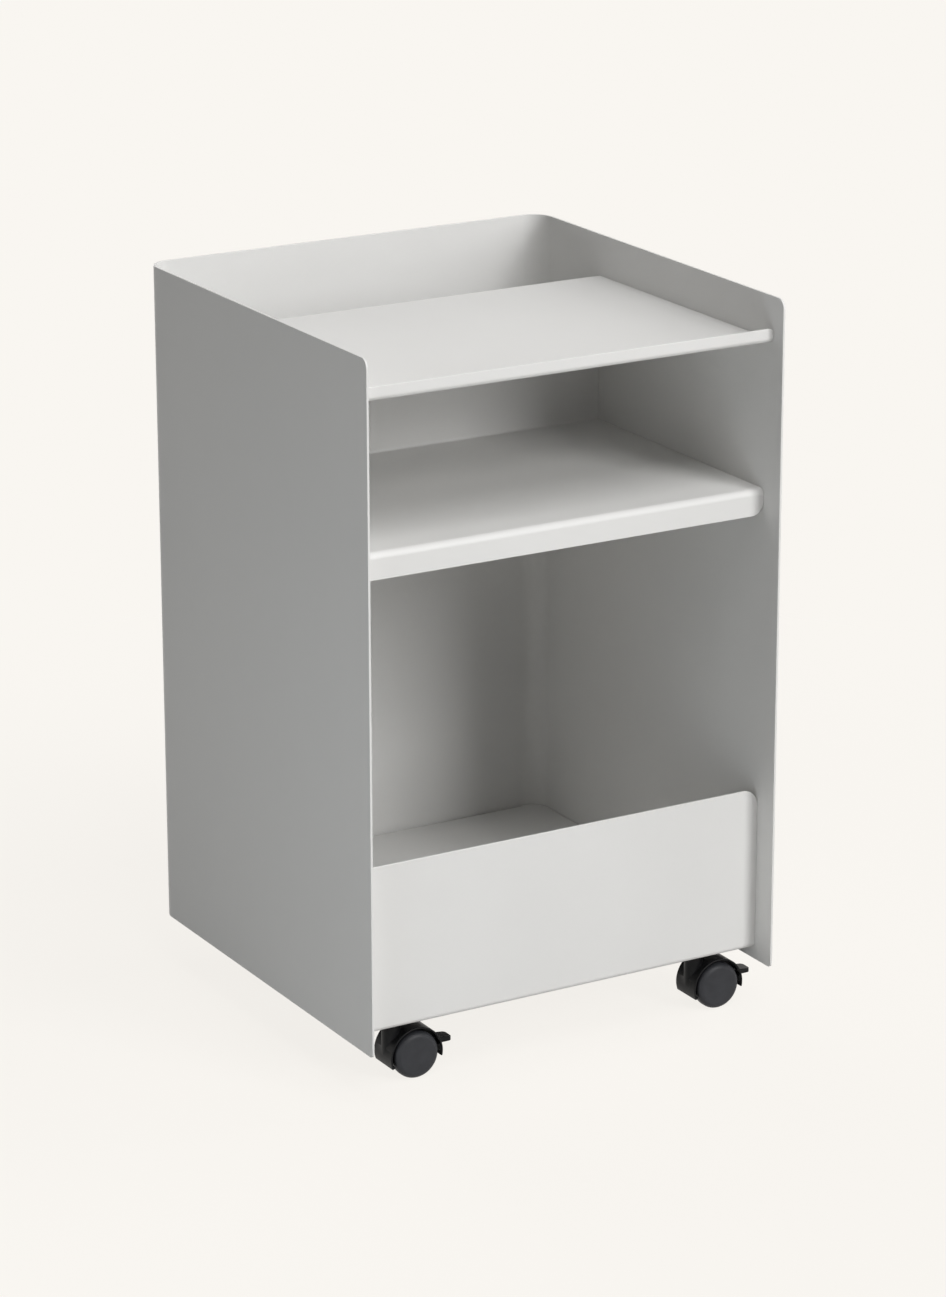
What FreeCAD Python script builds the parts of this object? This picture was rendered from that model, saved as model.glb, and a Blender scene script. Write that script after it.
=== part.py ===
# Mobile storage trolley of folded sheet steel on four twin-wheel castors.
# Millimetres. +X is to the right, +Y to the back and +Z up. The open front
# faces -Y, and the origin is on the floor under the middle of the cabinet.
import FreeCAD
import Part
import Sketcher
import math
import os
import re

SIZES = {
    # Cabinet. The sides' lower edge hangs a skirt below the base plate.
    "width": 380,
    "depth": 376,
    "shell_height": 570,
    "sheet": 2,
    "shell_bend": 18,
    "side_corner": 12,
    "fold": 2,
    "skirt": 10.5,
    # Shelf insert. Heights are from the sides' lower edge to a shelf's upper
    # face, and recesses and depths are from the sides' front edge.
    "top_shelf_height": 534.5,
    "top_lip": 11.5,
    "top_lip_corner": 5,
    "top_recess": 13,
    "middle_shelf_height": 409,
    "middle_lip": 22,
    "middle_lip_bend": 3.5,
    "middle_lip_corner": 11,
    "middle_recess": 23,
    "compartment_depth": 277,
    # Base with the tall front panel, and the tray that is the lower floor.
    "panel_height": 140.5,
    "panel_corner": 14,
    "panel_recess": 23.5,
    "floor_rise": 20,
    "tray_gap": 0.75,
    "corner_relief": 1,
    # Stitch welds.
    "weld_leg": 3,
    "weld_length": 30,
    "weld_inset": 40,
    # Castors: places, wheels and axle.
    "castor_side_inset": 45,
    "castor_end_inset": 50.5,
    "trail": 16,
    "wheel_radius": 20,
    "wheel_width": 9.5,
    "wheel_face": 2.5,
    "wheel_gap": 0.5,
    "axle_radius": 2.5,
    "running_gap": 0.05,
    # Castors: hood and stem.
    "hood_clearance": 2.6,
    "hood_wall": 1.4,
    "hood_wrap": 200,
    "hood_front": 12,
    "hood_lip": 4,
    "lip_gap": 0.8,
    "wheel_proud": 1.7,
    "web": 12,
    "axle_boss": 7,
    "neck_radius": 8,
    "neck_height": 6.5,
    "swivel_gap": 0.5,
    "socket_depth": 24.5,
    "stem_radius": 4,
    "stem_clearance": 0.2,
    "collar_corner": 7.5,
    "collar_thickness": 3,
    "nut_corner": 7.5,
    "nut_height": 6.5,
    "thread_end": 2,
    # Brake pedals of the front castors.
    "pedal_length": 13,
    "pedal_width": 12.5,
    "pedal_low": 2.5,
    "pedal_tip": 3.5,
    "pedal_root": 5,
    "pedal_corner": 3,
    "pedal_arm": 6,
    "pedal_hub": 2.1,
    "pedal_play": 0.7,
    "pin_inset": 3,
    "pin_up": 4.5,
    "pin_radius": 1,
    "arm_play": 0.3,
    "cheek_inset": 0.2,
    "shoe_gap": 1.2,
    "shoe_thickness": 1,
    "shoe_wrap": 14,
    "notch_below": 14,
    "notch_above": 22,
}

# Levels and widths that several pieces share, as formulas of the sizes.
HALF_INSIDE = "(width / 2 - sheet)"
INSIDE = "(width - 2 * sheet)"
HOOD_INNER = "(wheel_radius + hood_clearance)"
HOOD_RADIUS = "(wheel_radius + hood_clearance + hood_wall)"
HOOD_MIDDLE = "(wheel_radius + hood_clearance + hood_wall / 2)"
NECK_TOP = f"(wheel_radius + {HOOD_RADIUS} + neck_height)"
COLLAR_LOW = f"({NECK_TOP} + swivel_gap)"
BASE_LEVEL = f"({COLLAR_LOW} + collar_thickness)"
SHELL_LEVEL = f"({BASE_LEVEL} - skirt)"
NUT_LEVEL = f"({BASE_LEVEL} + sheet)"
STEM_TOP = f"({NUT_LEVEL} + nut_height + thread_end)"
WHEEL_OUTSIDE = "(web / 2 + wheel_gap + wheel_width)"
WHEEL_INSIDE = "(web / 2 + wheel_gap)"
WHEEL_CAP = f"({WHEEL_OUTSIDE} - wheel_face)"
HOOD_WIDTH = f"(2 * ({WHEEL_OUTSIDE} - wheel_proud))"
INNER_BACK = "(compartment_depth - depth / 2)"
PANEL_BACK = "(panel_recess + sheet - depth / 2)"

# The two sketch directions of each of a body's planes, as body axes.
PLANE_AXES = {"XY_Plane": "xy", "XZ_Plane": "xz", "YZ_Plane": "yz"}
# Turns a cylinder to lie along -Y, with its sweep from +X up towards +Z.
ALONG_Y = FreeCAD.Rotation(FreeCAD.Vector(1, 0, 0), 90)
UPRIGHT = FreeCAD.Rotation()
SAME_PLACE = 0.01

doc = FreeCAD.newDocument("storage_trolley")
sheet = doc.addObject("Spreadsheet::Sheet", "sizes")
for row, (alias, number) in enumerate(SIZES.items(), 1):
    sheet.set(f"A{row}", str(number))
    sheet.setAlias(f"A{row}", alias)
doc.recompute()
nodes = []


def bound(formula):
    """Turn the names of sizes in a formula into references to their cells."""
    return re.sub(r"[a-z][a-z_]*", lambda name: f"sizes.{name.group()}", str(formula))


def size(alias):
    return float(sheet.get(alias))


def add_node(piece, name):
    """Name a finished piece and put it on the list of pieces to write."""
    piece.Label = name
    nodes.append(piece)
    return piece


def place(piece, x="0", y="0", z="0"):
    for axis, formula in zip("xyz", (x, y, z)):
        piece.setExpression(f"Placement.Base.{axis}", bound(formula))


# Sketches and features of bodies

def new_sketch(body, plane_role):
    sketch = body.newObject("Sketcher::SketchObject", "sketch")
    plane = next(p for p in body.Origin.OriginFeatures if p.Role == plane_role)
    sketch.AttachmentSupport = [(plane, "")]
    sketch.MapMode = "FlatFace"
    return sketch


def bind_point(sketch, shape_index, point_index, point):
    for kind, formula in zip(("DistanceX", "DistanceY"), point):
        rule = Sketcher.Constraint(kind, -1, 1, shape_index, point_index, 1.0)
        index = sketch.addConstraint(rule)
        sketch.setExpression(f"Constraints[{index}]", bound(formula))


def draw_outline(sketch, corners):
    """Draw a closed outline whose corners are bound to formulas of the sizes."""
    first = sketch.GeometryCount
    count = len(corners)
    turns = [2 * math.pi * i / count for i in range(count)]
    ring = [FreeCAD.Vector(math.cos(turn), math.sin(turn), 0) for turn in turns]
    for i in range(count):
        sketch.addGeometry(Part.LineSegment(ring[i], ring[(i + 1) % count]), False)
    for i in range(count):
        meet = Sketcher.Constraint("Coincident", first + i, 2, first + (i + 1) % count, 1)
        sketch.addConstraint(meet)
    for i, corner in enumerate(corners):
        bind_point(sketch, first + i, 1, corner[:2])


def draw_circle(sketch, centre, radius):
    circle = Part.Circle(FreeCAD.Vector(1, 1, 0), FreeCAD.Vector(0, 0, 1), 1)
    index = sketch.addGeometry(circle, False)
    bind_point(sketch, index, 3, centre)
    rule = sketch.addConstraint(Sketcher.Constraint("Radius", index, 1.0))
    sketch.setExpression(f"Constraints[{rule}]", bound(radius))


def pad(body, sketch, length, side="Symmetric"):
    feature = body.newObject("PartDesign::Pad", "pad")
    feature.Profile = sketch
    feature.SideType = side
    feature.setExpression("Length", bound(length))
    doc.recompute()


def pocket_through(body, sketch):
    """Cut a sketch through the body, to both sides of the sketch."""
    before = body.Shape.Volume
    feature = body.newObject("PartDesign::Pocket", "pocket")
    feature.Profile = sketch
    feature.Type = "ThroughAll"
    feature.SideType = "Symmetric"
    doc.recompute()
    if body.Shape.Volume >= before:
        raise RuntimeError(f"{body.Name}: a pocket removed nothing")


def edges_at(shape, **where):
    """Names of the edges that lie at the given coordinates all along."""
    names = []
    for number, edge in enumerate(shape.Edges, 1):
        box = edge.BoundBox
        found = all(
            abs(getattr(box, axis.upper() + end) - value) < SAME_PLACE
            for axis, value in where.items()
            for end in ("Min", "Max")
        )
        if found:
            names.append(f"Edge{number}")
    return names


def round_edges(body, radius, names):
    base = body.Tip
    feature = body.newObject("PartDesign::Fillet", "round")
    feature.Base = (base, names)
    feature.setExpression("Radius", bound(radius))
    doc.recompute()


def folded_sheet(name, plane_role, corners, length, side="Symmetric"):
    """A body padded from a sheet's profile. A corner's third item is the
    radius of the bend there."""
    body = doc.addObject("PartDesign::Body", name)
    profile = new_sketch(body, plane_role)
    draw_outline(profile, corners)
    pad(body, profile, length, side)
    axes = PLANE_AXES[plane_role]
    for radius in dict.fromkeys(corner[2] for corner in corners if len(corner) > 2):
        names = []
        for line, corner in zip(profile.Geometry, corners):
            if len(corner) > 2 and corner[2] == radius:
                point = dict(zip(axes, (line.StartPoint.x, line.StartPoint.y)))
                names += edges_at(body.Tip.Shape, **point)
        round_edges(body, radius, names)
    return body


def turned(name, plane_role, corners):
    """A body turned about the vertical axis of its profile's sketch."""
    body = doc.addObject("PartDesign::Body", name)
    profile = new_sketch(body, plane_role)
    draw_outline(profile, corners)
    feature = body.newObject("PartDesign::Revolution", "turn")
    feature.Profile = profile
    feature.ReferenceAxis = (profile, ["V_Axis"])
    doc.recompute()
    return body


# Primitives and booleans

def cylinder(radius, height, at=("0", "0", "0"), rotation=UPRIGHT, sweep="360"):
    solid = doc.addObject("Part::Cylinder", "cylinder")
    solid.Placement = FreeCAD.Placement(FreeCAD.Vector(), rotation)
    for name, formula in (("Radius", radius), ("Height", height), ("Angle", sweep)):
        solid.setExpression(name, bound(formula))
    place(solid, *at)
    return solid


def barrel(radius, length, sweep="360", rotation=ALONG_Y):
    """A cylinder on a castor's wheel axis, in the castor's own frame."""
    return cylinder(radius, length, ("trail", f"({length}) / 2", "wheel_radius"), rotation, sweep)


def box(x, y, z):
    """A box between pairs of formulas."""
    solid = doc.addObject("Part::Box", "box")
    for name, (low, high) in zip(("Length", "Width", "Height"), (x, y, z)):
        solid.setExpression(name, bound(f"({high}) - ({low})"))
    place(solid, x[0], y[0], z[0])
    return solid


def hexagon(corner, height, z):
    solid = doc.addObject("Part::Prism", "hexagon")
    solid.Polygon = 6
    solid.setExpression("Circumradius", bound(corner))
    solid.setExpression("Height", bound(height))
    place(solid, z=z)
    return solid


def fuse(*solids):
    joined = doc.addObject("Part::MultiFuse", "fuse")
    joined.Shapes = list(solids)
    joined.Refine = True
    return joined


def cut(base, *tools):
    for tool in tools:
        result = doc.addObject("Part::Cut", "cut")
        result.Base = base
        result.Tool = tool
        base = result
    return base


def group(name, solids):
    """Like pieces that share a node, as separate solids."""
    compound = doc.addObject("Part::Compound", name)
    compound.Links = list(solids)
    return add_node(compound, name)


# Shell: left side, back and right side bent from one sheet.

def make_shell():
    outer = "(shell_bend + sheet)"
    body = folded_sheet("shell", "XY_Plane", [
        ("-width / 2", "-depth / 2"),
        ("-width / 2", "depth / 2", outer),
        ("width / 2", "depth / 2", outer),
        ("width / 2", "-depth / 2"),
        (HALF_INSIDE, "-depth / 2"),
        (HALF_INSIDE, "depth / 2 - sheet", "shell_bend"),
        (f"-{HALF_INSIDE}", "depth / 2 - sheet", "shell_bend"),
        (f"-{HALF_INSIDE}", "-depth / 2"),
    ], "shell_height", "One side")
    front = -size("depth") / 2
    names = edges_at(body.Tip.Shape, y=front, z=0)
    names += edges_at(body.Tip.Shape, y=front, z=size("shell_height"))
    round_edges(body, "side_corner", names)
    place(body, z=SHELL_LEVEL)
    add_node(body, "shell")


# Shelf insert: top lip, top shelf, inner back, middle shelf and front lip,
# folded from one sheet and set between the sides.

def make_shelf_insert():
    top_front = "(top_recess - depth / 2)"
    middle_front = "(middle_recess - depth / 2)"
    top_lip_end = "top_shelf_height - sheet + top_lip"
    middle_lip_end = "middle_shelf_height - middle_lip"
    fold_outside = "fold + sheet"
    body = folded_sheet("shelf_insert", "YZ_Plane", [
        (top_front, top_lip_end),
        (top_front, "top_shelf_height - sheet", fold_outside),
        (INNER_BACK, "top_shelf_height - sheet", "fold"),
        (INNER_BACK, "middle_shelf_height", "fold"),
        (middle_front, "middle_shelf_height", "middle_lip_bend + sheet"),
        (middle_front, middle_lip_end),
        (f"{middle_front} + sheet", middle_lip_end),
        (f"{middle_front} + sheet", "middle_shelf_height - sheet", "middle_lip_bend"),
        (f"{INNER_BACK} + sheet", "middle_shelf_height - sheet", fold_outside),
        (f"{INNER_BACK} + sheet", "top_shelf_height", fold_outside),
        (f"{top_front} + sheet", "top_shelf_height", "fold"),
        (f"{top_front} + sheet", top_lip_end),
    ], INSIDE)
    lip_ends = {
        "top_lip_corner": size("top_shelf_height") - size("sheet") + size("top_lip"),
        "middle_lip_corner": size("middle_shelf_height") - size("middle_lip"),
    }
    side = size("width") / 2 - size("sheet")
    for radius, height in lip_ends.items():
        names = edges_at(body.Tip.Shape, x=side, z=height)
        names += edges_at(body.Tip.Shape, x=-side, z=height)
        round_edges(body, radius, names)
    place(body, z=SHELL_LEVEL)
    add_node(body, "shelf_insert")


# Base: the tall front panel folds into the base plate, which carries the
# castors and reaches the shell's back.

def make_base_pan():
    body = folded_sheet("base_pan", "YZ_Plane", [
        ("panel_recess - depth / 2", "panel_height"),
        ("panel_recess - depth / 2", "0", "fold + sheet"),
        ("depth / 2 - sheet", "0"),
        ("depth / 2 - sheet", "sheet"),
        (PANEL_BACK, "sheet", "fold"),
        (PANEL_BACK, "panel_height"),
    ], INSIDE)
    side = size("width") / 2 - size("sheet")
    back = size("depth") / 2 - size("sheet")
    rounds = (
        ("panel_corner", {"z": size("panel_height")}),
        ("shell_bend + corner_relief", {"y": back}),
    )
    for radius, where in rounds:
        names = edges_at(body.Tip.Shape, x=side, **where)
        names += edges_at(body.Tip.Shape, x=-side, **where)
        round_edges(body, radius, names)
    holes = new_sketch(body, "XY_Plane")
    for x, y in CASTOR_PLACES.values():
        draw_circle(holes, (x, y), "stem_radius + stem_clearance")
    pocket_through(body, holes)
    place(body, z=BASE_LEVEL)
    add_node(body, "base_pan")


# Floor tray: drops in between the front panel and the back, stands on the
# base by its folded edges and covers the castor nuts.

def make_floor_tray():
    front = f"({PANEL_BACK} + fold + tray_gap)"
    back = "(depth / 2 - sheet - tray_gap)"
    under = "floor_rise - sheet"
    half_fold = f"({HALF_INSIDE} - shell_bend - corner_relief)"
    half_plate = f"({HALF_INSIDE} - tray_gap)"
    body = folded_sheet("floor_tray", "YZ_Plane", [
        (front, "sheet"),
        (f"{front} + sheet", "sheet"),
        (f"{front} + sheet", under, "fold"),
        (f"{back} - sheet", under, "fold"),
        (f"{back} - sheet", "sheet"),
        (back, "sheet"),
        (back, "floor_rise", "fold + sheet"),
        (front, "floor_rise", "fold + sheet"),
    ], f"2 * {half_fold}")
    strips = new_sketch(body, "XY_Plane")
    strips.setExpression("AttachmentOffset.Base.z", bound(under))
    for sign in ("", "-"):
        draw_outline(strips, [
            (f"{sign}{half_fold}", front),
            (f"{sign}{half_plate}", front),
            (f"{sign}{half_plate}", back),
            (f"{sign}{half_fold}", back),
        ])
    pad(body, strips, "sheet", "One side")
    side = size("width") / 2 - size("sheet") - size("tray_gap")
    rear = size("depth") / 2 - size("sheet") - size("tray_gap")
    names = edges_at(body.Tip.Shape, x=side, y=rear)
    names += edges_at(body.Tip.Shape, x=-side, y=rear)
    round_edges(body, "shell_bend", names)
    place(body, z=BASE_LEVEL)
    add_node(body, "floor_tray")


# Stitch welds: short fillet beads in the corners that stay out of sight.

def weld_bead(x_sign, y, z, axis):
    """A bead at a side wall. Beads along y hang under a plate and run back
    from y. Beads along z stand behind an upright sheet and run up from z."""
    bead = doc.addObject("Part::Wedge", "bead")
    for zero in ("Xmin", "Ymin", "Zmin", "X2min", "X2max", "Z2min"):
        setattr(bead, zero, 0)
    for leg in ("Xmax", "Ymax"):
        bead.setExpression(leg, bound("weld_leg"))
    for end in ("Zmax", "Z2max"):
        bead.setExpression(end, bound("weld_length"))
    rotation = FreeCAD.Rotation(FreeCAD.Vector(0, 0, 1), 0 if x_sign == "-" else 90)
    if axis == "y":
        rotation = FreeCAD.Rotation(FreeCAD.Vector(1, 0, 0), -90).multiply(rotation)
    bead.Placement = FreeCAD.Placement(FreeCAD.Vector(), rotation)
    place(bead, f"{x_sign}{HALF_INSIDE}", y, z)
    return bead


def make_welds():
    under_top = f"{SHELL_LEVEL} + top_shelf_height - sheet"
    under_middle = f"{SHELL_LEVEL} + middle_shelf_height - sheet"
    behind_insert = f"{INNER_BACK} + sheet"
    shelf_rear = f"{INNER_BACK} - weld_inset - weld_length"
    shelf_beads = []
    base_beads = []
    for x_sign in ("-", ""):
        for level, recess in ((under_top, "top_recess"), (under_middle, "middle_recess")):
            shelf_front = f"{recess} - depth / 2 + weld_inset"
            shelf_beads.append(weld_bead(x_sign, shelf_front, level, "y"))
            shelf_beads.append(weld_bead(x_sign, shelf_rear, level, "y"))
        back_middle = f"{SHELL_LEVEL} + (top_shelf_height + middle_shelf_height - weld_length) / 2"
        shelf_beads.append(weld_bead(x_sign, behind_insert, back_middle, "z"))
        for y in (f"{PANEL_BACK} + weld_inset", "-weld_length / 2",
                  "depth / 2 - weld_inset - weld_length"):
            base_beads.append(weld_bead(x_sign, y, BASE_LEVEL, "y"))
        panel_low = f"{BASE_LEVEL} + floor_rise + weld_inset - weld_length / 2"
        base_beads.append(weld_bead(x_sign, PANEL_BACK, panel_low, "z"))
    group("shelf_welds", shelf_beads)
    group("base_welds", base_beads)


# Castors

CASTOR_PLACES = {
    "front_left": ("castor_side_inset - width / 2", "castor_end_inset - depth / 2"),
    "front_right": ("width / 2 - castor_side_inset", "castor_end_inset - depth / 2"),
    "rear_left": ("castor_side_inset - width / 2", "depth / 2 - castor_end_inset"),
    "rear_right": ("width / 2 - castor_side_inset", "depth / 2 - castor_end_inset"),
}
PIN_X = "(trail + wheel_radius - pin_inset)"
PIN_Z = "(wheel_radius + pin_up)"


def make_stems():
    """Threaded stems that pass through the base plate between a hexagon
    collar and a nut. A stem's lower end is the pin that its castor turns on."""
    stems = []
    nuts = []
    for x, y in CASTOR_PLACES.values():
        low = f"({NECK_TOP} - socket_depth + swivel_gap)"
        rod = cylinder("stem_radius", f"{STEM_TOP} - {low}", ("0", "0", low))
        stem = fuse(rod, hexagon("collar_corner", "collar_thickness", COLLAR_LOW))
        bore = cylinder("stem_radius", "nut_height", ("0", "0", NUT_LEVEL))
        nut = cut(hexagon("nut_corner", "nut_height", NUT_LEVEL), bore)
        for piece, like_pieces in ((stem, stems), (nut, nuts)):
            place(piece, x, y)
            like_pieces.append(piece)
    group("castor_stems", stems)
    group("castor_nuts", nuts)


def below_axle(degrees):
    """A turn for a barrel whose sweep starts that far below the axle's front."""
    return FreeCAD.Rotation(FreeCAD.Vector(0, 1, 0), degrees).multiply(ALONG_Y)


def make_hood(corner, x, y, braked):
    """Moulded swivel body: a hood over both wheels on a middle web, with the
    neck that the stem turns in. Its rear end has a lip that comes close to
    the treads. A braked one is open for its pedal."""
    sweep = "hood_front + hood_wrap"
    front = below_axle(size("hood_front"))
    wall = cut(barrel(HOOD_RADIUS, HOOD_WIDTH, sweep, front), barrel(HOOD_INNER, f"2 * {HOOD_WIDTH}"))
    rear = below_axle(size("hood_lip") - size("hood_wrap"))
    lip = cut(
        barrel(HOOD_MIDDLE, HOOD_WIDTH, "hood_lip", rear),
        barrel("wheel_radius + lip_gap", f"2 * {HOOD_WIDTH}"),
    )
    neck_solid = cylinder("neck_radius", f"{HOOD_RADIUS} + neck_height", ("0", "0", "wheel_radius"))
    neck = cut(neck_solid, barrel(HOOD_MIDDLE, f"2 * {HOOD_WIDTH}"))
    web = barrel(HOOD_MIDDLE, "web", sweep, front)
    boss = barrel("axle_boss", "web")
    socket_low = f"{NECK_TOP} - socket_depth"
    tools = [
        cylinder("stem_radius + running_gap", "socket_depth", ("0", "0", socket_low)),
        barrel("axle_radius", "2 * web"),
    ]
    if braked:
        tools += pedal_openings()
    hood = cut(fuse(wall, lip, neck, web, boss), *tools)
    place(hood, x, y)
    add_node(hood, f"{corner}_hood")


def pedal_openings():
    """What a braked hood leaves open: a notch for the pedal and its brake
    shoe, a slot for the arm between two cheeks, and the pin's hole."""
    notch_width = "pedal_width + 2 * pedal_play"
    low_start = below_axle(size("notch_below"))
    notch = cut(
        barrel(f"{HOOD_RADIUS} + hood_wall", notch_width, "notch_below + notch_above", low_start),
        barrel("wheel_radius - cheek_inset", f"2 * ({notch_width})"),
    )
    half_slot = "pedal_arm / 2 + arm_play"
    slot = box(
        (f"{PIN_X} - 2 * pedal_hub", f"trail + {HOOD_RADIUS}"),
        (f"-({half_slot})", half_slot),
        ("wheel_radius - pedal_hub", f"{PIN_Z} + 2 * pedal_hub"),
    )
    pin_hole = cylinder("pin_radius", "2 * web", (PIN_X, "web", PIN_Z), ALONG_Y)
    return [notch, slot, pin_hole]


def make_axle(corner, x, y):
    half = f"({WHEEL_CAP} - wheel_gap)"
    end = (f"{x} + trail", f"{y} + {half}", "wheel_radius")
    axle = cylinder("axle_radius", f"2 * {half}", end, ALONG_Y)
    add_node(axle, f"{corner}_axle")


def make_wheel(corner, side, x, y):
    """Wheel with a closed face outside and a blind bore that runs on the axle."""
    wheel = turned(f"{corner}_wheel_{side}", "XY_Plane", [
        ("0", WHEEL_CAP),
        ("axle_radius + running_gap", WHEEL_CAP),
        ("axle_radius + running_gap", WHEEL_INSIDE),
        ("wheel_radius", WHEEL_INSIDE),
        ("wheel_radius", WHEEL_OUTSIDE),
        ("0", WHEEL_OUTSIDE),
    ])
    if side == "near":
        wheel.Placement.Rotation = FreeCAD.Rotation(FreeCAD.Vector(0, 0, 1), 180)
    place(wheel, f"{x} + trail", y, "wheel_radius")
    add_node(wheel, f"{corner}_wheel_{side}")


def make_pedal(corner, x, y):
    """Brake pedal: a foot tread on an arm that tips about a pin, and a shoe
    that comes down on both treads."""
    root = "(trail + wheel_radius + shoe_gap)"
    tip = f"(trail + {HOOD_RADIUS} + pedal_length)"
    low = "(wheel_radius + pedal_low)"
    lever = doc.addObject("PartDesign::Body", f"{corner}_lever")
    tread = new_sketch(lever, "XZ_Plane")
    draw_outline(tread, [
        (root, low),
        (tip, low),
        (tip, f"{low} + pedal_tip"),
        (f"trail + {HOOD_RADIUS}", f"{low} + pedal_root"),
        (root, f"{low} + pedal_root"),
    ])
    pad(lever, tread, "pedal_width")
    tip_x = tread.Geometry[1].StartPoint.x
    half_width = size("pedal_width") / 2
    names = edges_at(lever.Tip.Shape, x=tip_x, y=half_width)
    names += edges_at(lever.Tip.Shape, x=tip_x, y=-half_width)
    round_edges(lever, "pedal_corner", names)
    arm = new_sketch(lever, "XZ_Plane")
    draw_outline(arm, [
        (PIN_X, f"{PIN_Z} - pedal_hub"),
        (f"{root} + shoe_thickness", low),
        (f"{root} + shoe_thickness", f"{low} + pedal_root"),
        (PIN_X, f"{PIN_Z} + pedal_hub"),
    ])
    pad(lever, arm, "pedal_arm")
    hub = new_sketch(lever, "XZ_Plane")
    draw_circle(hub, (PIN_X, PIN_Z), "pedal_hub")
    pad(lever, hub, "pedal_arm")
    hole = new_sketch(lever, "XZ_Plane")
    draw_circle(hole, (PIN_X, PIN_Z), "pin_radius + running_gap")
    pocket_through(lever, hole)
    shoe_width = f"{HOOD_WIDTH} - 2 * arm_play"
    shoe = cut(
        barrel("wheel_radius + shoe_gap + shoe_thickness", shoe_width, "shoe_wrap"),
        barrel("wheel_radius + shoe_gap", f"2 * ({shoe_width})"),
    )
    pedal = fuse(lever, shoe)
    place(pedal, x, y)
    add_node(pedal, f"{corner}_pedal")
    pin_end = (f"{x} + {PIN_X}", f"{y} + web / 2", PIN_Z)
    pin = cylinder("pin_radius", "web", pin_end, ALONG_Y)
    add_node(pin, f"{corner}_pedal_pin")


def check_document():
    """Stop if anything failed to build or a piece isn't a valid solid."""
    for item in doc.Objects:
        if "Invalid" in item.State or "Error" in item.State:
            raise RuntimeError(f"{item.Name} ({item.Label}) failed: {item.State}")
    for piece in nodes:
        if piece.Shape.isNull() or not piece.Shape.isValid() or not piece.Shape.Solids:
            raise RuntimeError(f"{piece.Label} is not a valid solid")


make_shell()
make_shelf_insert()
make_base_pan()
make_floor_tray()
make_welds()
make_stems()
for corner, (x, y) in CASTOR_PLACES.items():
    braked = corner.startswith("front")
    make_hood(corner, x, y, braked)
    make_axle(corner, x, y)
    make_wheel(corner, "near", x, y)
    make_wheel(corner, "far", x, y)
    if braked:
        make_pedal(corner, x, y)
doc.recompute()
check_document()

os.makedirs("parts", exist_ok=True)
for piece in nodes:
    piece.Shape.exportStep(os.path.join("parts", f"{piece.Label}.step"))
    print(f"{piece.Label}: {len(piece.Shape.Solids)} solids, {piece.Shape.Volume:.1f} mm3")
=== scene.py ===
# Mobile storage trolley: a folded sheet steel cabinet on four twin-wheel castors.
# Metres, in the CAD frame: +X is to the right, the open front faces -Y, +Z is up.
import math

import bmesh
import bpy
from mathutils import Matrix, Vector


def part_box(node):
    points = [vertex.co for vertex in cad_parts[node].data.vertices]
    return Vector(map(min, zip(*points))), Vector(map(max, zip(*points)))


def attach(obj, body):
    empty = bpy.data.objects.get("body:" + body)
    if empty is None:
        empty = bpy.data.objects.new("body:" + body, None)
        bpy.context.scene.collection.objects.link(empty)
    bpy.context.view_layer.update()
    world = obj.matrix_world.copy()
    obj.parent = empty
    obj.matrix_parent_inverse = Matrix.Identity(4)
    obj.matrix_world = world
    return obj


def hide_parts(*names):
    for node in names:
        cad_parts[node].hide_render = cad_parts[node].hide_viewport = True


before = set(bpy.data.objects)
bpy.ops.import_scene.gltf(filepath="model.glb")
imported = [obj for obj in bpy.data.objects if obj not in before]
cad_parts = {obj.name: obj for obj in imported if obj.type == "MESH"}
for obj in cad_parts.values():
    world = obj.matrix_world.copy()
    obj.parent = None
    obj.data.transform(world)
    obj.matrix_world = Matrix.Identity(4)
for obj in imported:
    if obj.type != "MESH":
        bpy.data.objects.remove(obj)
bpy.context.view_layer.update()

# Shell: both sides and the back, bent from one 2 mm steel sheet on a press brake, with
# its front corners cut round, larger at the top. It is powder coated in a warm light
# grey, and the cured coat rounds every cut edge and leaves a fine peel on the flats.
COAT_DARK = (0.722, 0.718, 0.704, 1)
COAT_LIGHT = (0.758, 0.754, 0.740, 1)
COAT_ROUGHNESS = (0.46, 0.54)
COAT_CLOUDS = 8
COAT_GRAINS = 1400
GRAIN_SHARE = 0.35
COAT_PEEL = 650
PEEL_DEPTH = 0.00003
PEEL_STRENGTH = 0.35
SHEET_WAVES = 6
WAVE_DEPTH = 0.0012
WAVE_STRENGTH = 0.10
NOISE_LOW = 0.3
NOISE_HIGH = 0.7
CUT_EDGE = 0.0004
SAME_POINT = 0.00005
FLAT_ANGLE = math.radians(0.5)
EDGE_ANGLE = math.radians(35)
SMOOTH_ANGLE = math.radians(40)
SHEET = 0.002
SHELL_BEND = 0.020
BEND_STEPS = 16
TOP_CORNER = 0.008
BOTTOM_CORNER = 0.004
CORNER_STEPS = 12


def shade(tree, kind, inputs=None, **settings):
    """Add a shader node, its inputs set to values or linked from sockets."""
    node = tree.nodes.new("ShaderNode" + kind)
    for name, value in settings.items():
        setattr(node, name, value)
    for name, value in (inputs or {}).items():
        if isinstance(value, bpy.types.NodeSocket):
            tree.links.new(value, node.inputs[name])
        else:
            node.inputs[name].default_value = value
    return node


def new_finish(name):
    """A material, its node tree, its shader and a socket of object coordinates."""
    material = bpy.data.materials.new(name)
    material.use_nodes = True
    tree = material.node_tree
    shader = tree.nodes["Principled BSDF"]
    return material, tree, shader, shade(tree, "TexCoord").outputs["Object"]


def noise(tree, place, scale, detail=2):
    """A noise, its scale in waves for each metre."""
    texture = shade(tree, "TexNoise", {"Vector": place, "Scale": scale, "Detail": detail})
    return texture.outputs["Fac"]


def between(tree, share, low, high):
    """A number that follows a noise, from low to high."""
    limits = {"Value": share, "From Min": NOISE_LOW, "From Max": NOISE_HIGH}
    limits.update({"To Min": low, "To Max": high})
    return shade(tree, "MapRange", limits).outputs["Result"]


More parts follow.
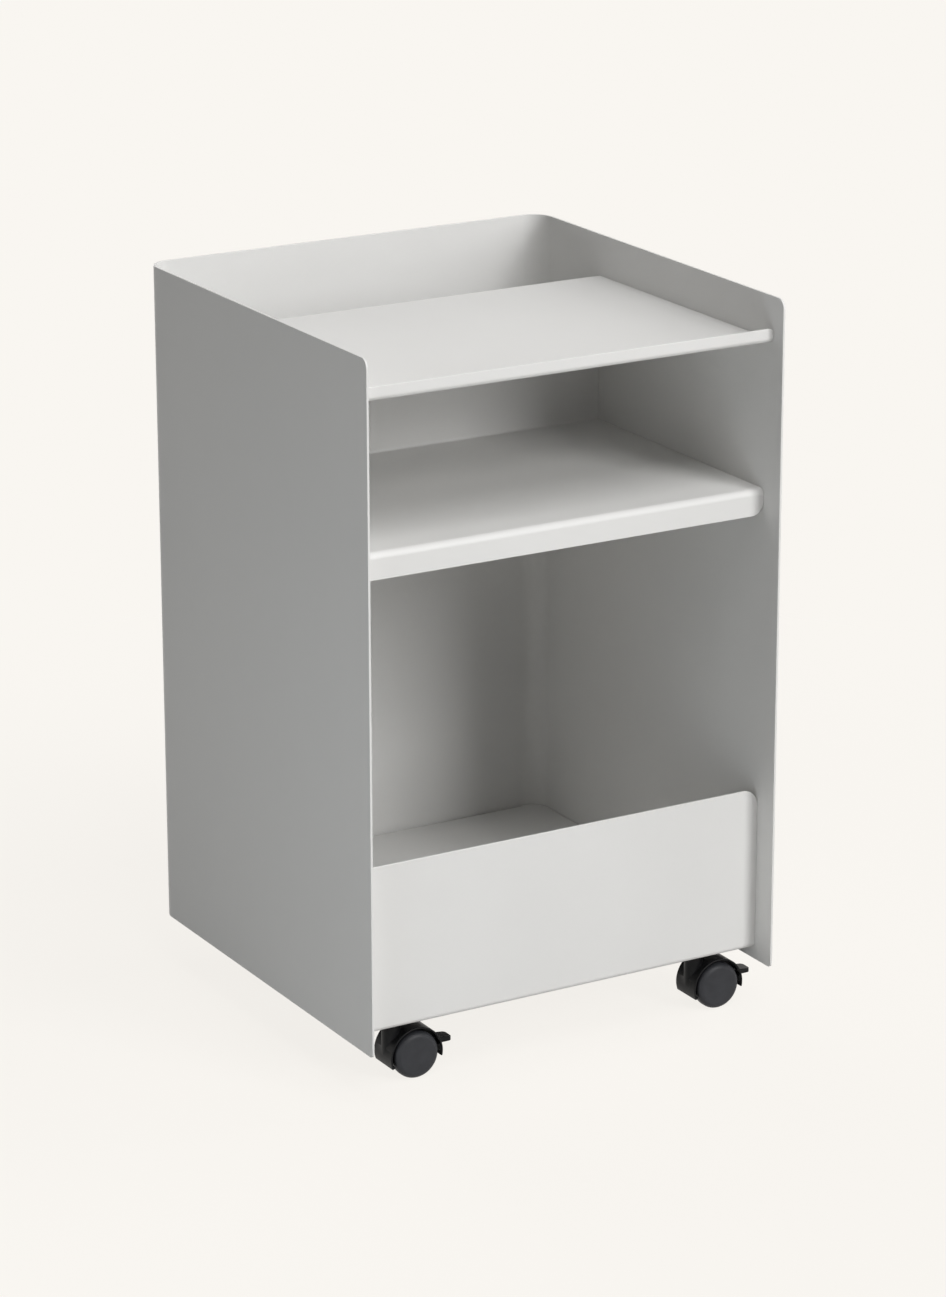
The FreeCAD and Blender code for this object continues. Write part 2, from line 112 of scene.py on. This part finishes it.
def two_tone(tree, share, dark, light):
    """A colour that follows a noise, from dark to light."""
    ramp = shade(tree, "ValToRGB", {"Fac": share})
    first, last = ramp.color_ramp.elements
    first.position, first.color = NOISE_LOW, dark
    last.position, last.color = NOISE_HIGH, light
    return ramp.outputs["Color"]


def bump(tree, height, depth, strength, below=None):
    """A surface that follows a noise, on top of another bump where there is one below."""
    inputs = {"Height": height, "Distance": depth, "Strength": strength}
    if below:
        inputs["Normal"] = below
    return shade(tree, "Bump", inputs).outputs["Normal"]


def make_powder_coat():
    """Cured powder: faint clouds and grain in its tone, and a fine peel on a sheet that
    isn't quite flat."""
    material, tree, shader, place = new_finish("grey_powder_coat")
    clouds = noise(tree, place, COAT_CLOUDS, detail=4)
    grains = noise(tree, place, COAT_GRAINS)
    peel = noise(tree, place, COAT_PEEL, detail=1)
    waves = noise(tree, place, SHEET_WAVES, detail=1)
    broad = shade(tree, "Math", {0: clouds, 1: 1 - GRAIN_SHARE}, operation="MULTIPLY").outputs[0]
    mixed = {0: grains, 1: GRAIN_SHARE, 2: broad}
    tone = shade(tree, "Math", mixed, operation="MULTIPLY_ADD").outputs[0]
    sheet = bump(tree, waves, WAVE_DEPTH, WAVE_STRENGTH)
    tree.links.new(two_tone(tree, tone, COAT_DARK, COAT_LIGHT), shader.inputs["Base Color"])
    tree.links.new(between(tree, clouds, *COAT_ROUGHNESS), shader.inputs["Roughness"])
    tree.links.new(bump(tree, peel, PEEL_DEPTH, PEEL_STRENGTH, sheet), shader.inputs["Normal"])
    return material


def soften(node, radius, clamp=False):
    """Round a solid's sharp edges, after its flat faces are made whole. The clamp makes
    the rounding smaller where short edges leave no room for it."""
    weld = node.modifiers.new("weld", "WELD")
    weld.merge_threshold = SAME_POINT
    flats = node.modifiers.new("flats", "DECIMATE")
    flats.decimate_type = "DISSOLVE"
    flats.angle_limit = FLAT_ANGLE
    edges = node.modifiers.new("edges", "BEVEL")
    edges.width = radius
    edges.segments = 2
    edges.limit_method = "ANGLE"
    edges.angle_limit = EDGE_ANGLE
    edges.use_clamp_overlap = clamp
    edges.loop_slide = False
    node.modifiers.new("smooth", "WEIGHTED_NORMAL")


def join_rings(bm, rings):
    """Faces between rings of vertices that follow each other."""
    for lower, upper in zip(rings, rings[1:]):
        for i in range(len(lower)):
            j = (i + 1) % len(lower)
            bm.faces.new(list(dict.fromkeys((lower[i], lower[j], upper[j], upper[i]))))


def add_piece(name, bm, material, body, node_name, smooth=SMOOTH_ANGLE):
    """Make a mesh the piece that stands in for a CAD node and rides on its body."""
    bmesh.ops.recalc_face_normals(bm, faces=bm.faces)
    mesh = bpy.data.meshes.new(name)
    bm.to_mesh(mesh)
    bm.free()
    mesh.shade_smooth()
    mesh.set_sharp_from_angle(angle=smooth)
    mesh.materials.append(material)
    piece = bpy.data.objects.new(name, mesh)
    bpy.context.scene.collection.objects.link(piece)
    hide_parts(node_name)
    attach(piece, body)
    return piece


def cut_back(radius, inset):
    """How far a round corner takes an edge back, at an inset from the corner's side."""
    short = max(radius - inset, 0)
    return radius - math.sqrt(radius ** 2 - short ** 2)


def shell_half(low, high):
    """Sections of the sheet from its left front edge to the back's middle, each with
    its outer and inner place in plan and its lower and upper end."""
    sections = []
    for i in range(CORNER_STEPS + 1):
        inset = TOP_CORNER * (1 - math.cos(math.pi / 2 * i / CORNER_STEPS))
        y = low.y + inset
        ends = low.z + cut_back(BOTTOM_CORNER, inset), high.z - cut_back(TOP_CORNER, inset)
        sections.append(((low.x, y), (low.x + SHEET, y), *ends))
    for i in range(BEND_STEPS + 1):
        turn = math.pi / 2 * i / BEND_STEPS
        places = []
        for radius in (SHELL_BEND, SHELL_BEND - SHEET):
            x = low.x + SHELL_BEND - radius * math.cos(turn)
            places.append((x, high.y - SHELL_BEND + radius * math.sin(turn)))
        sections.append((*places, low.z, high.z))
    return sections


def make_shell(material):
    """The sheet's left half and its mirror image, joined at the middle of the back."""
    left = shell_half(*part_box("shell"))
    right = []
    for outer, inner, *ends in reversed(left):
        right.append(((-outer[0], outer[1]), (-inner[0], inner[1]), *ends))
    bm = bmesh.new()
    rings = []
    for outer, inner, bottom, top in left + right:
        corners = (*outer, bottom), (*outer, top), (*inner, top), (*inner, bottom)
        rings.append([bm.verts.new(corner) for corner in corners])
    join_rings(bm, rings)
    bm.faces.new(rings[0])
    bm.faces.new(rings[-1])
    shell = add_piece("bent_shell", bm, material, "cabinet", "shell", math.pi)
    soften(shell, CUT_EDGE)


powder_coat = make_powder_coat()
make_shell(powder_coat)

# Shelf insert: one sheet folded to a C, with the upturned top lip, the top shelf,
# the inner back, the middle shelf and its downturned lip. It is set between the
# sides and coated with them.


def dress(node_name, material, edge, clamp=False):
    """Give a CAD node its finish and its rounded edges."""
    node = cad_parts[node_name]
    node.material_slots[0].material = material
    soften(node, edge, clamp)


dress("shelf_insert", powder_coat, CUT_EDGE)

# Base pan: the tall front panel and the base plate, folded from one sheet. The
# plate has four holes for the castor stems and meets the shell's back.
dress("base_pan", powder_coat, CUT_EDGE)

# Stitch welds: short fillet beads with a ripple for each step of the torch, laid in
# corners that stay out of sight and coated with the sheets that they hold.
RIPPLE = 0.0025
RIPPLE_DEPTH = 0.16
BEAD_STATIONS = 48
BEAD_ARC = 6
BEAD_CROWN = 0.5
BEAD_END = 0.4
END_SHARPNESS = 10
TOUCHING = 0.000001


def solids_of(node_name):
    """The corners of each separate solid in a CAD node."""
    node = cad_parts[node_name]
    bm = bmesh.new()
    bm.from_mesh(node.data)
    bm.transform(node.matrix_world)
    bmesh.ops.remove_doubles(bm, verts=bm.verts, dist=TOUCHING)
    solids = []
    waiting = dict.fromkeys(bm.verts)
    while waiting:
        found = [next(iter(waiting))]
        del waiting[found[0]]
        for vert in found:
            for edge in vert.link_edges:
                other = edge.other_vert(vert)
                if other in waiting:
                    del waiting[other]
                    found.append(other)
        solids.append([vert.co.copy() for vert in found])
    bm.free()
    return solids


def box_of(points):
    """The lowest and highest corner of a solid's box."""
    low, high = (Vector([pick(p[i] for p in points) for i in range(3)]) for pick in (min, max))
    return low, high


def add_bead(bm, points):
    """A rippled fillet in place of a three-cornered bar."""
    low, high = box_of(points)
    middle = (low + high) / 2
    centroid = sum(points, Vector()) / len(points)
    along = max(range(3), key=lambda i: high[i] - low[i])
    across = [i for i in range(3) if i != along]
    corner = Vector([low[i] if centroid[i] < middle[i] else high[i] for i in range(3)])
    legs = [Vector(), Vector()]
    for leg, axis in zip(legs, across):
        leg[axis] = low[axis] + high[axis] - 2 * corner[axis]
    length = high[along] - low[along]
    rings = []
    for step in range(BEAD_STATIONS + 1):
        share = step / BEAD_STATIONS
        root = corner.copy()
        root[along] = low[along] + share * length
        end = BEAD_END + (1 - BEAD_END) * (1 - abs(2 * share - 1) ** END_SHARPNESS)
        ripple = RIPPLE_DEPTH * abs(math.sin(math.pi * share * length / RIPPLE))
        ring = [bm.verts.new(root)]
        for i in range(BEAD_ARC + 1):
            turn = math.pi / 2 * i / BEAD_ARC
            away = math.cos(turn) * legs[0] + math.sin(turn) * legs[1]
            crown = BEAD_CROWN + (1 - BEAD_CROWN) / (math.cos(turn) + math.sin(turn))
            reach = end * crown * (1 - ripple * math.sin(2 * turn))
            ring.append(bm.verts.new(root + reach * away))
        rings.append(ring)
    join_rings(bm, rings)
    bm.faces.new(rings[0])
    bm.faces.new(rings[-1])


for welds in ("shelf_welds", "base_welds"):
    beads = bmesh.new()
    for points in solids_of(welds):
        add_bead(beads, points)
    add_piece(f"rippled_{welds}", beads, powder_coat, "cabinet", welds)

# Castor stems: plated M8 rods. The plain lower end is the pin that a castor turns on,
# the hexagon collar bears on the base plate and the thread goes up through it.
STEEL_DARK = (0.52, 0.53, 0.55, 1)
STEEL_LIGHT = (0.66, 0.67, 0.69, 1)
STEEL_ROUGHNESS = (0.28, 0.42)
STEEL_CLOUDS = 160
STEEL_STREAKS = 1800
STREAK_DEPTH = 0.00001
STREAK_STRENGTH = 0.3
STEM_RADIUS = 0.004
COLLAR_CORNER = 0.0075
COLLAR_THICKNESS = 0.003
THREAD_PITCH = 0.00125
THREAD_DEPTH = 0.0006
THREAD_STEPS = 6
TURNED_EDGE = 0.0004
STEM_COLUMNS = 48


def make_zinc_plate():
    """Bright zinc on steel, clouded in tone and gloss, with fine streaks."""
    material, tree, shader, place = new_finish("zinc_plate")
    clouds = noise(tree, place, STEEL_CLOUDS, detail=4)
    streaks = noise(tree, place, STEEL_STREAKS, detail=1)
    tree.links.new(two_tone(tree, clouds, STEEL_DARK, STEEL_LIGHT), shader.inputs["Base Color"])
    tree.links.new(between(tree, clouds, *STEEL_ROUGHNESS), shader.inputs["Roughness"])
    tree.links.new(bump(tree, streaks, STREAK_DEPTH, STREAK_STRENGTH), shader.inputs["Normal"])
    shader.inputs["Metallic"].default_value = 1
    return material


def add_turned(bm, profile, place, columns):
    """Turn a profile about Z and put it in place. Each of its points is a radius and a
    height, and a radius may be a function of the angle. A profile that starts off the
    axis closes on itself."""
    rings = []
    for radius, height in profile:
        if radius == 0:
            rings.append([bm.verts.new(place @ Vector((0, 0, height)))] * columns)
            continue
        ring = []
        for i in range(columns):
            angle = 2 * math.pi * i / columns
            reach = radius(angle) if callable(radius) else radius
            point = Vector((reach * math.cos(angle), reach * math.sin(angle), height))
            ring.append(bm.verts.new(place @ point))
        rings.append(ring)
    if profile[0][0] != 0:
        rings.append(rings[0])
    join_rings(bm, rings)


def hexagon(corner, limit=1):
    """The reach of a hexagon at an angle, cut off at a limit such as a chamfer's."""
    def reach(angle):
        flat = corner * math.cos(math.pi / 6)
        return min(limit, flat / math.cos(angle % (math.pi / 3) - math.pi / 6))
    return reach


def thread(height):
    """The reach of a thread at an angle, in a plane at that height."""
    def reach(angle):
        phase = (height / THREAD_PITCH - angle / (2 * math.pi)) % 1
        return STEM_RADIUS - THREAD_DEPTH * abs(2 * phase - 1)
    return reach


zinc_plate = make_zinc_plate()
base_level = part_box("base_pan")[0].z
stems = bmesh.new()
for points in solids_of("castor_stems"):
    low, high = box_of(points)
    collar_low = base_level - COLLAR_THICKNESS
    profile = [(0, low.z), (STEM_RADIUS - TURNED_EDGE, low.z), (STEM_RADIUS, low.z + TURNED_EDGE)]
    profile += [(STEM_RADIUS, collar_low), (hexagon(COLLAR_CORNER - TURNED_EDGE), collar_low)]
    profile += [(hexagon(COLLAR_CORNER), collar_low + TURNED_EDGE), (hexagon(COLLAR_CORNER), base_level)]
    turns = round((high.z - base_level - THREAD_DEPTH) / THREAD_PITCH * THREAD_STEPS)
    heights = [base_level + i * THREAD_PITCH / THREAD_STEPS for i in range(turns + 1)]
    profile += [(thread(height), height) for height in heights]
    profile += [(STEM_RADIUS - 2 * THREAD_DEPTH, high.z), (0, high.z)]
    axis = (low + high) / 2
    add_turned(stems, profile, Matrix.Translation((axis.x, axis.y, 0)), STEM_COLUMNS)
add_piece("threaded_stems", stems, zinc_plate, "cabinet", "castor_stems")

# Castor nuts: plated hexagon nuts, chamfered on both faces, drawn down on the base
# plate from above.
NUT_CORNER = 0.0075
CHAMFER_START = 0.0061
CHAMFER_SLOPE = 1.73
CHAMFER_HEIGHTS = (0, 0.0003, 0.0006, 0.0009)

nuts = bmesh.new()
for points in solids_of("castor_nuts"):
    low, high = box_of(points)
    rounds = [(hexagon(NUT_CORNER, CHAMFER_START + CHAMFER_SLOPE * up), up) for up in CHAMFER_HEIGHTS]
    profile = [(STEM_RADIUS, low.z + TURNED_EDGE), (STEM_RADIUS + TURNED_EDGE, low.z)]
    profile += [(reach, low.z + up) for reach, up in rounds]
    profile += [(reach, high.z - up) for reach, up in reversed(rounds)]
    profile += [(STEM_RADIUS + TURNED_EDGE, high.z), (STEM_RADIUS, high.z - TURNED_EDGE)]
    axis = (low + high) / 2
    add_turned(nuts, profile, Matrix.Translation((axis.x, axis.y, 0)), STEM_COLUMNS)
add_piece("chamfered_nuts", nuts, zinc_plate, "cabinet", "castor_nuts")

# Floor tray: the lower compartment's floor, an inverted tray that drops in behind
# the panel, stands on the base and covers the castor nuts.
dress("floor_tray", powder_coat, CUT_EDGE, clamp=True)

# Castor hoods: moulded in black nylon, each with a barrel over both wheels, a
# middle web for the axle and a neck that turns on the stem.
HOOD_DARK = (0.0090, 0.0092, 0.0100, 1)
HOOD_LIGHT = (0.0125, 0.0128, 0.0138, 1)
HOOD_ROUGHNESS = (0.30, 0.40)
HOOD_SHINE = 0.12
PLASTIC_CLOUDS = 90
PLASTIC_GRAIN = 2600
GRAIN_DEPTH = 0.00002
GRAIN_STRENGTH = 0.4
MOULDED_EDGE = 0.0003
CORNERS = ("front_left", "front_right", "rear_left", "rear_right")


def moulded_plastic(name, dark, light, roughness, shine):
    """Plastic from a spark-eroded mould: a fine grain, a little uneven in gloss."""
    material, tree, shader, place = new_finish(name)
    clouds = noise(tree, place, PLASTIC_CLOUDS, detail=3)
    grain = noise(tree, place, PLASTIC_GRAIN)
    tree.links.new(two_tone(tree, clouds, dark, light), shader.inputs["Base Color"])
    tree.links.new(between(tree, clouds, *roughness), shader.inputs["Roughness"])
    tree.links.new(bump(tree, grain, GRAIN_DEPTH, GRAIN_STRENGTH), shader.inputs["Normal"])
    shader.inputs["Specular IOR Level"].default_value = shine
    return material


hood_nylon = moulded_plastic("black_nylon", HOOD_DARK, HOOD_LIGHT, HOOD_ROUGHNESS, HOOD_SHINE)
for corner in CORNERS:
    dress(f"{corner}_hood", hood_nylon, MOULDED_EDGE)

# Axles: plated steel pins, cut from rod and rounded at their ends. Each is pressed
# through the web of a hood, and a wheel turns on either end of it.
AXLE_EDGE = 0.0003

for corner in CORNERS:
    dress(f"{corner}_axle", zinc_plate, AXLE_EDGE)

# Wheels: two for each castor, moulded in dark grey plastic with a closed flat face,
# a full rounded shoulder outside and a blind bore that runs on the axle.
WHEEL_DARK = (0.0295, 0.0305, 0.0345, 1)
WHEEL_LIGHT = (0.0375, 0.0387, 0.0436, 1)
WHEEL_ROUGHNESS = (0.42, 0.52)
WHEEL_SHINE = 0.22
WHEEL_COLUMNS = 96
SHOULDER = 0.005
SHOULDER_STEPS = 10
INNER_EDGE = 0.0008
INNER_STEPS = 4
CAP = 0.0025
RUNNING_GAP = 0.00005
ALONG_Y = Matrix.Rotation(math.radians(-90), 4, "X")


def arc(centre, radius, start, end, steps):
    """Points of a (radius, height) profile round a quarter or so of a circle."""
    turns = [math.radians(start + (end - start) * i / steps) for i in range(steps + 1)]
    return [(centre[0] + radius * math.cos(t), centre[1] + radius * math.sin(t)) for t in turns]


wheel_plastic = moulded_plastic(
    "grey_wheel_plastic", WHEEL_DARK, WHEEL_LIGHT, WHEEL_ROUGHNESS, WHEEL_SHINE)
for corner in CORNERS:
    axle_low, axle_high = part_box(f"{corner}_axle")
    axle_middle = (axle_low + axle_high) / 2
    bore = (axle_high.z - axle_low.z) / 2 + RUNNING_GAP
    for side in ("near", "far"):
        low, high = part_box(f"{corner}_wheel_{side}")
        tread = (high.z - low.z) / 2
        inside, outside = sorted((abs(low.y - axle_middle.y), abs(high.y - axle_middle.y)))
        profile = [(0, outside - CAP), (bore, outside - CAP), (bore, inside)]
        profile += arc((tread - INNER_EDGE, inside + INNER_EDGE), INNER_EDGE, -90, 0, INNER_STEPS)
        profile += arc((tread - SHOULDER, outside - SHOULDER), SHOULDER, 0, 90, SHOULDER_STEPS)
        profile += [(0, outside)]
        place = Matrix.Translation(axle_middle) @ ALONG_Y
        if side == "near":
            place = place @ Matrix.Rotation(math.pi, 4, "X")
        wheel = bmesh.new()
        add_turned(wheel, profile, place, WHEEL_COLUMNS)
        add_piece(f"{corner}_{side}_wheel", wheel, wheel_plastic,
                  f"{corner}_{side}_wheel", f"{corner}_wheel_{side}")

# Brake pedals: a foot tread on an arm with a curved shoe, moulded in the hoods'
# nylon. Each tips about a steel pin between the cheeks of a front hood.
PIN_EDGE = 0.0002

for corner in CORNERS[:2]:
    dress(f"{corner}_pedal", hood_nylon, MOULDED_EDGE)
    dress(f"{corner}_pedal_pin", zinc_plate, PIN_EDGE)

# Floor: a plain pale ground that keeps the trolley's shadow near it. What looks at it
# or mirrors it sees the backdrop's colour, and from below it is clear.
BACKDROP = (0.947, 0.921, 0.879, 1)
GROUND = (0.46, 0.452, 0.44, 1)
FLOOR_SIZE = 30
SHADOW_SHARE = 0.09
SHADOW_NEAR = 0.35
SHADOW_FAR = 1.1


def seen_directly(tree):
    """1 for rays that look at a surface or mirror it, 0 for those that light others."""
    path = shade(tree, "LightPath")
    seen = path.outputs["Is Camera Ray"]
    for ray in ("Is Glossy Ray", "Is Transmission Ray"):
        seen = shade(tree, "Math", {0: seen, 1: path.outputs[ray]}, operation="MAXIMUM").outputs[0]
    return seen


def make_floor():
    """The ground, whose shadow fades out with the distance from the trolley."""
    material = bpy.data.materials.new("pale_floor")
    material.use_nodes = True
    tree = material.node_tree
    tree.nodes.clear()
    ground = shade(tree, "BsdfDiffuse", {"Color": GROUND}).outputs["BSDF"]
    glow = shade(tree, "Emission", {"Color": BACKDROP}).outputs["Emission"]
    place = shade(tree, "TexCoord").outputs["Object"]
    away = shade(tree, "VectorMath", {0: place}, operation="LENGTH").outputs["Value"]
    fade = {"Value": away, "From Min": SHADOW_NEAR, "From Max": SHADOW_FAR}
    fade.update({"To Min": SHADOW_SHARE, "To Max": 0})
    share = shade(tree, "MapRange", fade, interpolation_type="SMOOTHSTEP").outputs["Result"]
    shadowed = shade(tree, "BsdfDiffuse", {"Color": BACKDROP}).outputs["BSDF"]
    lit = shade(tree, "MixShader", {0: share, 1: glow, 2: shadowed}).outputs["Shader"]
    face = shade(tree, "MixShader", {0: seen_directly(tree), 1: ground, 2: lit}).outputs["Shader"]
    under = shade(tree, "NewGeometry").outputs["Backfacing"]
    clear = shade(tree, "BsdfTransparent").outputs["BSDF"]
    both = shade(tree, "MixShader", {0: under, 1: face, 2: clear}).outputs["Shader"]
    shade(tree, "OutputMaterial", {"Surface": both})
    bm = bmesh.new()
    bmesh.ops.create_grid(bm, x_segments=1, y_segments=1, size=FLOOR_SIZE / 2)
    mesh = bpy.data.meshes.new("floor")
    bm.to_mesh(mesh)
    bm.free()
    mesh.materials.append(material)
    floor = bpy.data.objects.new("floor", mesh)
    bpy.context.scene.collection.objects.link(floor)


make_floor()

# Studio light: two keys at the front right, broad lamps above, one on the right side and
# one behind, all far enough away to light the trolley evenly, and a small cool fill low
# on its left. The surround is dim.
SURROUND = 0.05
FILL_COLOUR = (0.88, 0.95, 1)
AIM = Vector((0, 0, 0.35))


def soft_light(name, azimuth, elevation, distance, size, power, colour=(1, 1, 1)):
    """A square lamp that looks at the trolley's middle, with its place in degrees and
    metres and its power in watts. Azimuth 0 is in front, and 90 on the right."""
    turn, rise = math.radians(azimuth), math.radians(elevation)
    away = Vector((math.sin(turn) * math.cos(rise), -math.cos(turn) * math.cos(rise), math.sin(rise)))
    lamp = bpy.data.lights.new(name, "AREA")
    lamp.size = size
    lamp.energy = power
    lamp.color = colour
    light = bpy.data.objects.new(name, lamp)
    light.visible_camera = False
    light.location = AIM + away * distance
    light.rotation_mode = "QUATERNION"
    light.rotation_quaternion = away.to_track_quat("Z", "Y")
    bpy.context.scene.collection.objects.link(light)


def make_surround():
    """A dim world that looks like the backdrop to the camera."""
    world = bpy.data.worlds.new("studio")
    world.use_nodes = True
    tree = world.node_tree
    tree.nodes.clear()
    dim = shade(tree, "Background", {"Color": (1, 1, 1, 1), "Strength": SURROUND}).outputs[0]
    pale = shade(tree, "Background", {"Color": BACKDROP}).outputs[0]
    both = shade(tree, "MixShader", {0: seen_directly(tree), 1: dim, 2: pale}).outputs["Shader"]
    shade(tree, "OutputWorld", {"Surface": both})
    bpy.context.scene.world = world


make_surround()
soft_light("key", azimuth=20, elevation=29, distance=6, size=1.8, power=126)
soft_light("low_key", azimuth=20, elevation=14, distance=6, size=1.8, power=66)
soft_light("over_front", azimuth=0, elevation=60, distance=6, size=3, power=152)
soft_light("side", azimuth=84, elevation=26, distance=5, size=2, power=62)
soft_light("over_back", azimuth=180, elevation=60, distance=6, size=3, power=44)
soft_light("back", azimuth=180, elevation=12, distance=6, size=1.2, power=90)
soft_light("fill", azimuth=-62, elevation=-8, distance=1.1, size=0.36, power=1.4, colour=FILL_COLOUR)

# Camera: in front of the trolley, to its left and above it, with a long lens. It is
# tilted down and has no shift.
CAMERA_AZIMUTH = math.radians(-30.162)
CAMERA_ELEVATION = math.radians(17.961)
CAMERA_ROLL = math.radians(-0.09)
CAMERA_PLACE = Vector((-1.7382, -3.0114, 1.4285))
CAMERA_LENS = 122.37
CAMERA_SENSOR = 36


def make_camera():
    """The camera, turned by its azimuth, elevation and roll."""
    back = Vector((
        math.sin(CAMERA_AZIMUTH) * math.cos(CAMERA_ELEVATION),
        -math.cos(CAMERA_AZIMUTH) * math.cos(CAMERA_ELEVATION),
        math.sin(CAMERA_ELEVATION),
    ))
    right = Vector((0, 0, 1)).cross(back).normalized()
    up = back.cross(right)
    level = Matrix((right, up, back)).transposed().to_4x4()
    camera = bpy.data.objects.new("camera", bpy.data.cameras.new("camera"))
    camera.data.lens = CAMERA_LENS
    camera.data.sensor_width = CAMERA_SENSOR
    roll = Matrix.Rotation(CAMERA_ROLL, 4, "Z")
    camera.matrix_world = Matrix.Translation(CAMERA_PLACE) @ level @ roll
    bpy.context.scene.collection.objects.link(camera)
    bpy.context.scene.camera = camera


make_camera()
bpy.context.scene.view_settings.view_transform = "Standard"
